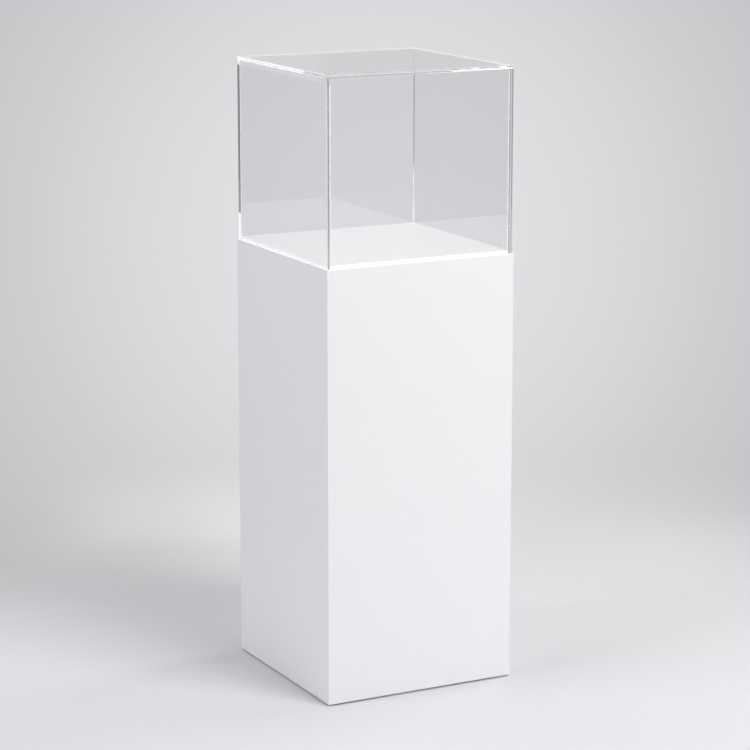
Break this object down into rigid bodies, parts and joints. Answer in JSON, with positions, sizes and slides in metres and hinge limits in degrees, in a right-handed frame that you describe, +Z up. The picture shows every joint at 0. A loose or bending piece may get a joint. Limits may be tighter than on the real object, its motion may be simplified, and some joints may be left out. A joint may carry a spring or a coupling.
{
  "type": "pedestal display case",
  "caption": "Square white plinth with a raised deck under a clear five-sided cover that lifts off, standing on base rails with levelling feet.",
  "frame": {"origin": "middle of the footprint, on the floor that the base rails stand on", "axes": "+Z up, -Y out of the front, -X out of the left side"},
  "size_m": [0.4, 0.4, 1.21],
  "materials": {
    "white_lacquer": "satin white lacquer on fibreboard",
    "white_acrylic": "polished opal white acrylic",
    "clear_acrylic": "clear acrylic with polished edges",
    "mounting_tape": "foam mounting tape",
    "softwood": "planed pine",
    "plywood": "sanded birch plywood",
    "zinc_steel": "bright zinc plate",
    "yellow_zinc_screws": "yellow zinc plate",
    "black_nylon": "moulded black nylon"
  },
  "bodies": {
    "plinth": {"panel_front": "white_lacquer", "panel_right": "white_lacquer", "panel_back": "white_lacquer", "panel_left": "white_lacquer", "top_panel": "white_lacquer", "deck_plate": "white_acrylic", "deck_tape": "mounting_tape", "top_cleat_front": "softwood", "top_cleat_right": "softwood", "top_cleat_back": "softwood", "top_cleat_left": "softwood", "corner_post_front_left": "softwood", "corner_post_front_right": "softwood", "corner_post_back_right": "softwood", "corner_post_back_left": "softwood", "base_rail_front": "plywood", "base_rail_right": "plywood", "base_rail_back": "plywood", "base_rail_left": "plywood", "foot_plate_front_left": "plywood", "foot_plate_front_right": "plywood", "foot_plate_back_right": "plywood", "foot_plate_back_left": "plywood", "tee_nuts": "zinc_steel", "cleat_screws": "yellow_zinc_screws", "top_screws": "yellow_zinc_screws", "rail_screws": "yellow_zinc_screws", "plate_screws": "yellow_zinc_screws"},
    "cover": {"cover_front": "clear_acrylic", "cover_right": "clear_acrylic", "cover_back": "clear_acrylic", "cover_left": "clear_acrylic", "cover_top": "clear_acrylic"},
    "foot_front_left": {"foot_pad_front_left": "black_nylon", "foot_stud_front_left": "zinc_steel"},
    "foot_front_right": {"foot_pad_front_right": "black_nylon", "foot_stud_front_right": "zinc_steel"},
    "foot_back_right": {"foot_pad_back_right": "black_nylon", "foot_stud_back_right": "zinc_steel"},
    "foot_back_left": {"foot_pad_back_left": "black_nylon", "foot_stud_back_left": "zinc_steel"}
  },
  "joints": [
    {"name": "cover_lift", "type": "slide", "parent": "plinth", "child": "cover", "axis": [0, 0, 1], "range_m": [0, 0.4]},
    {"name": "foot_front_left_screw", "type": "slide", "parent": "plinth", "child": "foot_front_left", "axis": [0, 0, -1], "range_m": [0, 0.012]},
    {"name": "foot_front_right_screw", "type": "slide", "parent": "plinth", "child": "foot_front_right", "axis": [0, 0, -1], "range_m": [0, 0.012]},
    {"name": "foot_back_right_screw", "type": "slide", "parent": "plinth", "child": "foot_back_right", "axis": [0, 0, -1], "range_m": [0, 0.012]},
    {"name": "foot_back_left_screw", "type": "slide", "parent": "plinth", "child": "foot_back_left", "axis": [0, 0, -1], "range_m": [0, 0.012]}
  ]
}
